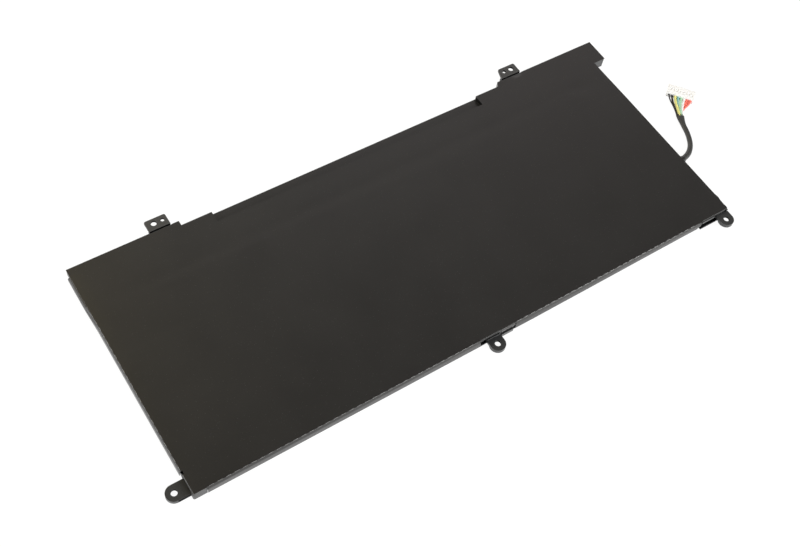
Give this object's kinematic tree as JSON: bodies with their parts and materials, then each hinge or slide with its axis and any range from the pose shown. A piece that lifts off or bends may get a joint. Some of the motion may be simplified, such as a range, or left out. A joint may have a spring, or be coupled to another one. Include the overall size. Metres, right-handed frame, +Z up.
{
  "type": "laptop battery",
  "caption": "Flat black internal laptop battery: pouch cells in a moulded frame under film, with screw lugs, two-hole tabs and a short pigtail lead.",
  "frame": {"origin": "centre of the pack's outline, without the pigtail, on the face it rests on", "axes": "+X along the length towards the pigtail, +Y towards the edge with the two tabs, +Z up out of the plain face"},
  "size_m": [0.3052, 0.122, 0.0053],
  "materials": {
    "frame_plastic": "satin black moulding",
    "black_film": "dull black film",
    "pouch_foil": "laminated foil",
    "aluminium_lead": "bare",
    "nickel": "bare",
    "amber_tape": "clear amber",
    "adhesive_tape": "double sided",
    "foam": "soft foam",
    "board": "solder mask",
    "chip_plastic": "moulded",
    "chip_ceramic": "fired",
    "sleeve": "shrunk sleeve",
    "black_wire": "insulation",
    "yellow_wire": "insulation",
    "blue_wire": "insulation",
    "green_wire": "insulation",
    "white_wire": "insulation",
    "red_wire": "insulation",
    "white_nylon": "natural nylon",
    "contact_brass": "tinned"
  },
  "bodies": {
    "root": {"frame": "frame_plastic", "top_film": "black_film", "bottom_film": "black_film", "bay_cover": "black_film", "cell_left": "pouch_foil", "cell_middle": "pouch_foil", "cell_right": "pouch_foil", "positive_leads": "aluminium_lead", "negative_leads": "nickel", "weld_tabs": "nickel", "lead_tape": "amber_tape", "cell_tape": "adhesive_tape", "foam_strip": "foam", "circuit_board": "board", "power_switches": "chip_plastic", "gauge_chip": "chip_plastic", "backup_protector": "chip_plastic", "chemical_fuse": "chip_ceramic", "sense_resistor": "chip_plastic", "thermistor": "chip_ceramic", "chip_capacitors": "chip_ceramic", "chip_resistors": "chip_plastic", "inner_wires": "black_wire", "cable_sleeve": "sleeve", "black_wires": "black_wire", "yellow_wire": "yellow_wire", "blue_wire": "blue_wire", "green_wire": "green_wire", "white_wire": "white_wire", "red_wires": "red_wire", "connector_housing": "white_nylon", "crimp_terminals": "contact_brass"}
  },
  "joints": []
}
